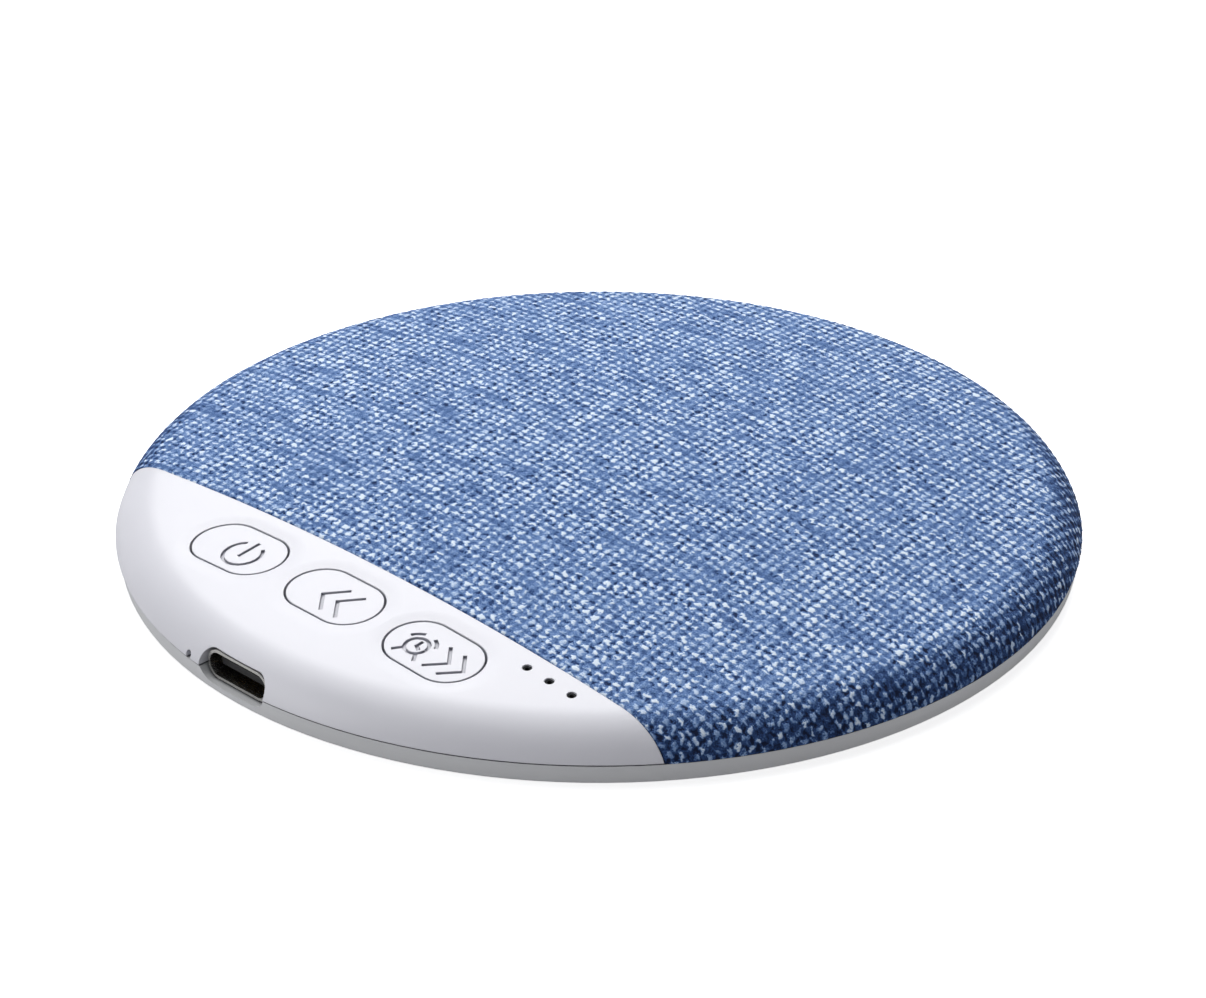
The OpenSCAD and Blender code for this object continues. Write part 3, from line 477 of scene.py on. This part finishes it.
def woven_cloth():
    """Tone = middle + dot * its own shade * (1 - slub) - gap + fibres - shade, coloured by a ramp.

    Past the shoulder the cloth turns down, and there its tone is darkened with painted shade, which
    grows with the flat distance from the middle of the top.
    """
    material, tree, shader = new_finish("blue_plain_weave_polyester")
    in_mm, repeat = weave_place(tree)
    onto, uneven = yarns(tree, in_mm, repeat)
    slub = slubs(tree, in_mm)
    fibres = speckle(tree, in_mm, FIBRES_PER_MM)

    dot = add(tree, "MapRange", {"Value": onto, "From Min": DOT_EDGE[0], "From Max": DOT_EDGE[1]},
              interpolation_type="SMOOTHSTEP")
    light = add(tree, "Math", {0: dot, 1: own_shade(tree, uneven, 0.0, 0.48, 0.7)}, operation="MULTIPLY")
    clear = add(tree, "Math", {0: slub, 1: -0.7, 2: 1.0}, operation="MULTIPLY_ADD")
    light = add(tree, "Math", {0: light, 1: clear}, operation="MULTIPLY")
    tone = add(tree, "Math", {0: light, 1: DOT_TONE, 2: MIDDLE_TONE}, operation="MULTIPLY_ADD")
    tone = add(tree, "Math", {0: slub, 1: SLUB_TONE, 2: tone}, operation="MULTIPLY_ADD")

    # The dark gap between four dots is painted shade, deeper in some gaps than in others
    gap = add(tree, "MapRange", {"Value": onto, "From Min": GAP_EDGE[0], "From Max": GAP_EDGE[1],
                                 "To Min": 1.0, "To Max": 0.0}, interpolation_type="SMOOTHSTEP")
    gap = add(tree, "Math", {0: gap, 1: own_shade(tree, uneven, 0.5, 0.2, 0.8)}, operation="MULTIPLY")
    closed = add(tree, "Math", {0: slub, 1: -0.55, 2: 1.0}, operation="MULTIPLY_ADD")
    gap = add(tree, "Math", {0: gap, 1: closed}, operation="MULTIPLY")
    tone = add(tree, "Math", {0: gap, 1: GAP_PAINTED_SHADE, 2: tone}, operation="MULTIPLY_ADD")

    spun = add(tree, "Math", {0: fibres, 1: FIBRE_TONE, 2: -FIBRE_TONE / 2}, operation="MULTIPLY_ADD")
    tone = add(tree, "Math", {0: tone, 1: spun}, operation="ADD")
    # Painted shade: past the shoulder the tone is darkened, more the farther from the middle
    from_middle = add(tree, "VectorMath", {0: in_mm}, operation="LENGTH").outputs["Value"]
    rim = add(tree, "MapRange", {"Value": from_middle, "From Min": RIM_SHADE_FROM,
                                 "From Max": RIM_SHADE_TO, "To Max": RIM_PAINTED_SHADE},
              interpolation_type="SMOOTHSTEP")
    tone = add(tree, "Math", {0: tone, 1: rim}, operation="SUBTRACT")

    threads = add(tree, "Bump", relief(onto, 0.22, 0.7))
    fill(tree, shader, {"Base Color": add(tree, "ValToRGB", {"Fac": tone}, CLOTH_BLUES),
                        "Roughness": 0.9, "Specular IOR Level": 0.2,
                        "Normal": add(tree, "Bump", relief(fibres, 0.06, 0.5, threads))})
    print(material.name, "has", len(tree.nodes), "nodes")
    return material


cloth.data.materials.append(woven_cloth())

# %% [markdown]
# ## Moulded ABS
# The cover, the buttons and the base are injection-moulded ABS. The tool's surface was finely
# sparked, which leaves a satin skin with a grain of about a tenth of a millimetre, so highlights
# are soft. A faint unevenness in gloss keeps large plain faces from looking computed.
#
# No moulding has a knife edge, so a Bevel node turns the light round each edge. The cover dips a
# little to each button. Light gets lost in a narrow groove, which the white of the plastic would
# bring back up too brightly, so grooves in the buttons and the base take a grayer colour as
# painted shade.

# %% Moulded plastics
EDGE_RADIUS = 0.12
CLOUD_MM = 14.0
PLASTIC_IOR = 1.53  # of ABS; epoxy, ceramic and film from the same function take it too
# How far the painted shade in grooves looks for blocking surfaces
GROOVE_SHADE_REACH = 0.5
DISH_DEPTH = 0.16
DISH_FROM = 3.4
DISH_TO = 5.4
BUTTONS = ("power_button", "previous_button", "next_button")


def button_dish(tree):
    """A shallow dish round each button: height by distance from the button's long middle line.

    X is taken from the nearest button's centre, less the half length of its middle line, so the
    distance is that to a stadium. The height rises smoothly from the rim of the button outwards.
    """
    lows, highs = zip(*(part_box(name) for name in BUTTONS))
    centre = (lows[1] + highs[1]) / 2
    pitch = lows[2].x - lows[1].x
    half_line = (highs[1].x - lows[1].x - highs[1].y + lows[1].y) / 2
    place = add(tree, "SeparateXYZ", {"Vector": add(tree, "TexCoord").outputs["Object"]})
    from_centre = add(tree, "Math", {0: place.outputs["X"], 1: centre.x}, operation="SUBTRACT")
    nearest = add(tree, "Math", {0: from_centre, 1: pitch}, operation="DIVIDE")
    nearest = add(tree, "Math", {0: nearest}, operation="ROUND")
    nearest = add(tree, "Math", {0: nearest, 1: 1.0}, operation="MINIMUM")
    nearest = add(tree, "Math", {0: nearest, 1: -1.0}, operation="MAXIMUM")
    local_x = add(tree, "Math", {0: nearest, 1: -pitch, 2: from_centre}, operation="MULTIPLY_ADD")
    local_x = add(tree, "Math", {0: local_x}, operation="ABSOLUTE")
    past_line = add(tree, "Math", {0: local_x, 1: half_line}, operation="SUBTRACT")
    past_line = add(tree, "Math", {0: past_line, 1: 0.0}, operation="MAXIMUM")
    local_y = add(tree, "Math", {0: place.outputs["Y"], 1: centre.y}, operation="SUBTRACT")
    away = add(tree, "CombineXYZ", {"X": past_line, "Y": local_y})
    distance = add(tree, "VectorMath", {0: away}, operation="LENGTH").outputs["Value"]
    inputs = {"Value": distance, "From Min": DISH_FROM * MM, "From Max": DISH_TO * MM}
    return add(tree, "MapRange", inputs, interpolation_type="SMOOTHSTEP")


def moulded(name, code, dark_code, roughness=0.42, grain_mm=0.12, depth_mm=0.002,
                dish=False, groove_shade_code=None):
    """Satin plastic, clouded by a few per cent, with edges rounded to a tenth of a millimetre.

    Given a groove shade colour, the floors of narrow grooves take it as painted shade: the more a
    point's view of the sky is blocked within GROOVE_SHADE_REACH, the darker it is.
    """
    material, tree, shader = new_finish(name)
    cloudy = grain(tree, CLOUD_MM, 2.0)
    colour = add(tree, "ValToRGB", {"Fac": cloudy}, ((0.3, dark_code), (0.7, code)))
    if groove_shade_code is not None:
        # Painted shade: groove floors are coloured darker the more of the sky they can't see
        sky = add(tree, "AmbientOcclusion", {"Distance": GROOVE_SHADE_REACH * MM}, samples=8).outputs["AO"]
        groove = add(tree, "ValToRGB", {"Fac": sky}, ((0.4, groove_shade_code), (0.9, "FFFFFF")))
        colour = add(tree, "Mix", {"Factor": 1.0, 6: colour, 7: groove}, data_type="RGBA",
                     blend_type="MULTIPLY").outputs[2]
    under = add(tree, "Bevel", {"Radius": EDGE_RADIUS * MM}, samples=4)
    if dish:
        under = add(tree, "Bump", relief(button_dish(tree), DISH_DEPTH, 1.0, under))
    gloss = {"Value": cloudy, "To Min": roughness - 0.05, "To Max": roughness + 0.05}
    skin = relief(grain(tree, grain_mm), depth_mm, 0.6, under)
    fill(tree, shader, {"Base Color": colour, "Roughness": add(tree, "MapRange", gloss),
                        "IOR": PLASTIC_IOR, "Normal": add(tree, "Bump", skin)})
    print(name, "has", len(tree.nodes), "nodes")
    return material


white_abs = moulded("white_satin_moulded_abs", "E1E1E8", "DDDDE4", 0.4, dish=True)
# The engraved buttons and the base take painted shade in their grooves and seams
engraved_abs = moulded("white_engraved_moulded_abs", "E1E1E8", "DDDDE4", 0.4, groove_shade_code="AEAEB5")
gray_abs = moulded("pale_gray_satin_moulded_abs", "DADBDD", "D6D7D9", groove_shade_code="6C6C72")
dark_abs = moulded("black_matt_moulded_abs", "26272A", "1F2023", 0.6)

# %% [markdown]
# ## Rubber, foam and silicone
# Feet and seals are moulded from soft compounds. They are matt, slightly dusty, and a little
# lighter where the dust has settled in patches.

# %% Soft compounds


def soft_compound(name, code, dust_code, grain_mm=0.3):
    """Matt compound in patches of two close shades, eight grains across, with a pebbled skin."""
    material, tree, shader = new_finish(name)
    dust = grain(tree, grain_mm * 8, 4.0)
    colour = add(tree, "ValToRGB", {"Fac": dust}, ((0.35, code), (0.75, dust_code)))
    fill(tree, shader, {"Base Color": colour, "Roughness": 0.8, "Specular IOR Level": 0.35,
                        "Normal": add(tree, "Bump", relief(grain(tree, grain_mm), 0.01, 0.5))})
    print(name, "has", len(tree.nodes), "nodes")
    return material


rubber = soft_compound("gray_moulded_rubber", "4A4B4E", "55565A")
silicone = soft_compound("black_silicone", "1B1B1D", "242427", 0.2)
foam = soft_compound("black_closed_cell_foam", "202022", "2C2C2F", 0.5)

# %% [markdown]
# ## Metals
# The socket's shell, the switch covers and the screws are stamped or turned from steel and plated.
# Rolling leaves fine lines along the sheet, which blur the highlight more one way than the other.
# Noise stretched along one axis draws those lines.

# %% Metals


def plated_metal(name, code, roughness=0.28, line_mm=0.08, along=(12, 1, 1)):
    """Metal whose gloss and height follow lines of noise, line_mm apart and stretched along an axis."""
    material, tree, shader = new_finish(name)
    lines = grain(tree, line_mm, 2.0, along)
    gloss = {"Value": lines, "To Min": roughness * 0.7, "To Max": roughness * 1.4}
    fill(tree, shader, {"Base Color": linear(code), "Metallic": 1.0,
                        "Roughness": add(tree, "MapRange", gloss),
                        "Normal": add(tree, "Bump", relief(lines, 0.002, 0.4))})
    print(name, "has", len(tree.nodes), "nodes")
    return material


nickel = plated_metal("nickel_plated_stamped_steel", "C9C8C4", 0.25)
gold = plated_metal("gold_plated_contacts", "E3B95C", 0.22)
tin = plated_metal("tin_solder", "B9BBBE", 0.35, 0.3, (1, 1, 1))
magnet_plate = plated_metal("nickel_plated_magnet", "B4B6B9", 0.2, 0.15, (1, 1, 1))
pouch_foil = plated_metal("laminated_pouch_foil", "CFD1D4", 0.42, 0.6, (3, 1, 1))

# %% [markdown]
# ## Copper winding
# A voice coil is enamelled copper wire wound in close turns about a tenth of a millimetre thick.
# Turns that fine don't show, so they are drawn coarser: one band along the coil's axis stands for
# about six of them.

# %% Copper winding
WIRE_MM = 0.12
RADIANS_PER_UNIT = 20  # of a wave texture at scale 1


def copper_winding():
    """Bands across Z. A band is a whole turn of the wave, so it is two pi wires wide."""
    material, tree, shader = new_finish("enamelled_copper_winding")
    place = add(tree, "TexCoord").outputs["Object"]
    scale = 1 / MM / WIRE_MM / RADIANS_PER_UNIT
    turns = add(tree, "TexWave", {"Vector": place, "Scale": scale, "Distortion": 0.3},
                wave_type="BANDS", bands_direction="Z").outputs["Fac"]
    colour = add(tree, "ValToRGB", {"Fac": turns}, ((0.2, "7A3B1C"), (0.8, "C9763F")))
    fill(tree, shader, {"Base Color": colour, "Metallic": 0.8, "Roughness": 0.35,
                        "Normal": add(tree, "Bump", relief(turns, 0.03, 0.8))})
    print(material.name, "has", len(tree.nodes), "nodes")
    return material


copper = copper_winding()

# %% [markdown]
# ## Board, chips and wires
# A circuit board is glass-fibre laminate under a green solder mask, through which copper tracks
# show as slightly lighter lines. Chips are black moulded epoxy, small parts are fired ceramic, and
# the wires wear extruded PVC.

# %% Board and insulation
BRICK_UNIT_MM = 3.0  # a brick is half of it long and a quarter of it high


def solder_mask():
    """Green mask with raised tracks, drawn as the mortar of a brick pattern, under a clear coat."""
    material, tree, shader = new_finish("green_solder_mask")
    place = add(tree, "TexCoord").outputs["Object"]
    tracks = add(tree, "TexBrick", {"Vector": place, "Scale": 1 / MM / BRICK_UNIT_MM,
                                    "Mortar Size": 0.06, "Mortar Smooth": 0.2,
                                    "Color1": linear("0F4A2A"), "Color2": linear("12512F"),
                                    "Mortar": linear("1F7042")})
    fill(tree, shader, {"Base Color": tracks, "Roughness": 0.35, "Coat Weight": 0.4,
                        "Normal": add(tree, "Bump", relief(tracks.outputs["Fac"], 0.02, 0.7))})
    print(material.name, "has", len(tree.nodes), "nodes")
    return material


def extruded_pvc(name, code, dark_code):
    """Satin insulation with faint clouds and a fine skin."""
    material, tree, shader = new_finish(name)
    cloudy = grain(tree, 2.0, 2.0)
    colour = add(tree, "ValToRGB", {"Fac": cloudy}, ((0.3, dark_code), (0.7, code)))
    fill(tree, shader, {"Base Color": colour, "Roughness": 0.4,
                        "Normal": add(tree, "Bump", relief(grain(tree, 0.25, 2.0), 0.006, 0.5))})
    print(name, "has", len(tree.nodes), "nodes")
    return material


board_mask = solder_mask()
epoxy = moulded("black_moulded_epoxy", "17181A", "121314", 0.5, 0.08, 0.003)
ceramic = moulded("fired_ceramic", "B79B78", "A98C69", 0.5, 0.1, 0.004)
cone_film = moulded("formed_polymer_film", "2B3034", "25292D", 0.35, 0.4, 0.004)
red_pvc = extruded_pvc("red_extruded_pvc", "B3161B", "A01014")
black_pvc = extruded_pvc("black_extruded_pvc", "1D1D1F", "161618")
white_pvc = extruded_pvc("white_extruded_pvc", "E4E4E2", "D9D9D6")

# %% [markdown]
# ## Clear acrylic
# The light pipe beside the socket is a polished rod of clear acrylic with a frosted face.

# %% Clear acrylic


def clear_acrylic():
    """Part of the light goes through, bent as by acrylic, and patches of frost blur it."""
    material, tree, shader = new_finish("clear_moulded_acrylic")
    frost = grain(tree, 0.3)
    gloss = add(tree, "MapRange", {"Value": frost, "To Min": 0.15, "To Max": 0.35})
    fill(tree, shader, {"Base Color": linear("D8DEE0"), "Transmission Weight": 0.6, "IOR": 1.49,
                        "Roughness": gloss, "Normal": add(tree, "Bump", relief(frost, 0.004, 0.4))})
    print(material.name, "has", len(tree.nodes), "nodes")
    return material


acrylic = clear_acrylic()

# %% [markdown]
# ## Dressing the parts
# Every part from the frame takes the finish of its slot in the record. The feet and the engraved
# buttons have a finish of their own.

# %% Finishes of the frame's parts
finishes = {
    "white_abs": white_abs, "gray_abs": gray_abs, "dark_abs": dark_abs, "woven_cloth": None,
    "stamped_steel": nickel, "solder": tin, "epoxy": epoxy, "gold_plate": gold,
    "solder_mask": board_mask, "ceramic": ceramic, "clear_acrylic": acrylic, "soft_foam": foam,
    "silicone": silicone, "pouch_foil": pouch_foil, "red_insulation": red_pvc,
    "black_insulation": black_pvc, "white_insulation": white_pvc, "magnet_plate": magnet_plate,
    "copper_wire": copper, "cone_film": cone_film,
}
own_finishes = {"rubber_feet": rubber, **{name: engraved_abs for name in BUTTONS}}
for row in frame["record"]["subparts"]:
    part = frame["nodes"][row["node"]]
    material = own_finishes.get(row["node"], finishes[row["material_slot"]])
    for target in (part, mouldings.get(row["node"])):
        if material is not None and target is not None:
            target.data.materials.clear()
            target.data.materials.append(material)

# %% [markdown]
# ## The studio
# The floor is a white table lit from inside, so that it stays white and its shadows stay faint.
# One large soft light hangs behind the object and above it: the top is bright, and the front wall
# and the cloth's rim fall into shade. A weaker one fills in from the front, and a low strip on the
# right draws the base's edge there. The room is dark, and to anything but the camera the table is
# a middle gray, as if the object stood well above it, so little light comes back up into the shade.

# %% Floor
FLOOR_HALF = 3.0
half = FLOOR_HALF / MM
floor = make_piece("floor", [(-half, -half, 0), (half, -half, 0), (half, half, 0), (-half, half, 0)],
                   [(0, 1, 2, 3)])
floor_paint, floor_tree, floor_shader = new_finish("white_light_table")
seen = add(floor_tree, "LightPath").outputs["Is Camera Ray"]
table_gray = add(floor_tree, "ValToRGB", {"Fac": seen}, ((0.0, "B4B4B6"), (1.0, "F2F2F3")))
glow = add(floor_tree, "Math", {0: seen, 1: 0.6, 2: 0.15}, operation="MULTIPLY_ADD")
fill(floor_tree, floor_shader, {"Base Color": table_gray, "Roughness": 0.95, "Specular IOR Level": 0.0,
                                "Emission Color": linear("FFFFFF"), "Emission Strength": glow})
floor.data.materials.append(floor_paint)

# %% Lights
# Each light has a place in metres, the side of its square in metres, and its power in watts.
SOFT_LIGHTS = {
    "behind_and_above": ((-0.4, 0.4, 0.52), 0.6, 4.6),
    "overhead": ((-0.25, 0.0, 1.1), 1.0, 6.8),
    "front_fill": ((-0.4, -0.8, 0.3), 0.5, 2.5),
    "right_strip": ((1.0, 0.35, 0.12), 0.3, 0.6),
}
ROOM_LIGHT = 0.12

for name, (place, side, power) in SOFT_LIGHTS.items():
    light_data = bpy.data.lights.new(name, "AREA")
    light_data.size = side
    light_data.energy = power
    light = bpy.data.objects.new(name, light_data)
    bpy.context.scene.collection.objects.link(light)
    light.location = place
    light.rotation_euler = (-Vector(place)).to_track_quat("-Z", "Y").to_euler()
    print(name, "shines from", round(Vector(place).length, 2), "m away")
world = bpy.data.worlds.new("dim_room")
world.use_nodes = True
fill(world.node_tree, world.node_tree.nodes["Background"],
     {"Color": linear("EEF1F8"), "Strength": ROOM_LIGHT})
bpy.context.scene.world = world
bpy.context.scene.view_settings.view_transform = "Standard"
bpy.context.scene.view_settings.look = "None"
